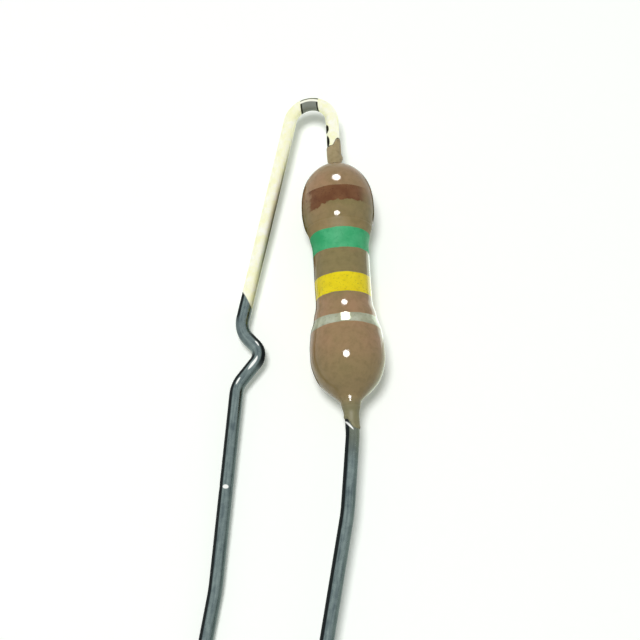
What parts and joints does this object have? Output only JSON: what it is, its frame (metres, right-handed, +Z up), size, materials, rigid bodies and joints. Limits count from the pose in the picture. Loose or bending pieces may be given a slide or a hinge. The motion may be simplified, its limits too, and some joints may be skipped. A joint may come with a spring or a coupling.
{
  "type": "axial resistor",
  "caption": "Axial carbon film resistor with a banded dog-bone body and wire leads, one bent back in a hairpin for upright mounting, lying on its side",
  "frame": {"origin": "middle of the part's box, on the ground it lies on", "axes": "+Y runs along the body's axis from the straight lead to the hairpin end; the long lead lies on the -X side; +Z is up"},
  "size_m": [0.0088, 0.027, 0.0033],
  "materials": {
    "lacquer": "glossy tan lacquer, dipped",
    "paint_brown": "glossy dark brown paint",
    "paint_green": "glossy green paint",
    "paint_yellow": "glossy yellow paint with fine specks",
    "paint_silver": "glossy pale silver-grey paint",
    "tinned_wire": "tinned copper-clad steel wire, drawn and slightly dulled",
    "cap_steel": "nickel-plated pressed steel",
    "carbon_film": "matte black carbon film",
    "ceramic_rod": "fired ceramic, unglazed"
  },
  "bodies": {
    "root": {"ceramic_core": "ceramic_rod", "resistive_film": "carbon_film", "end_cap_hairpin_side": "cap_steel", "end_cap_straight_side": "cap_steel", "lead_hairpin": "tinned_wire", "lead_straight": "tinned_wire", "coating": "lacquer", "band_1_brown": "paint_brown", "band_2_green": "paint_green", "band_3_yellow": "paint_yellow", "band_4_silver": "paint_silver"}
  },
  "joints": []
}
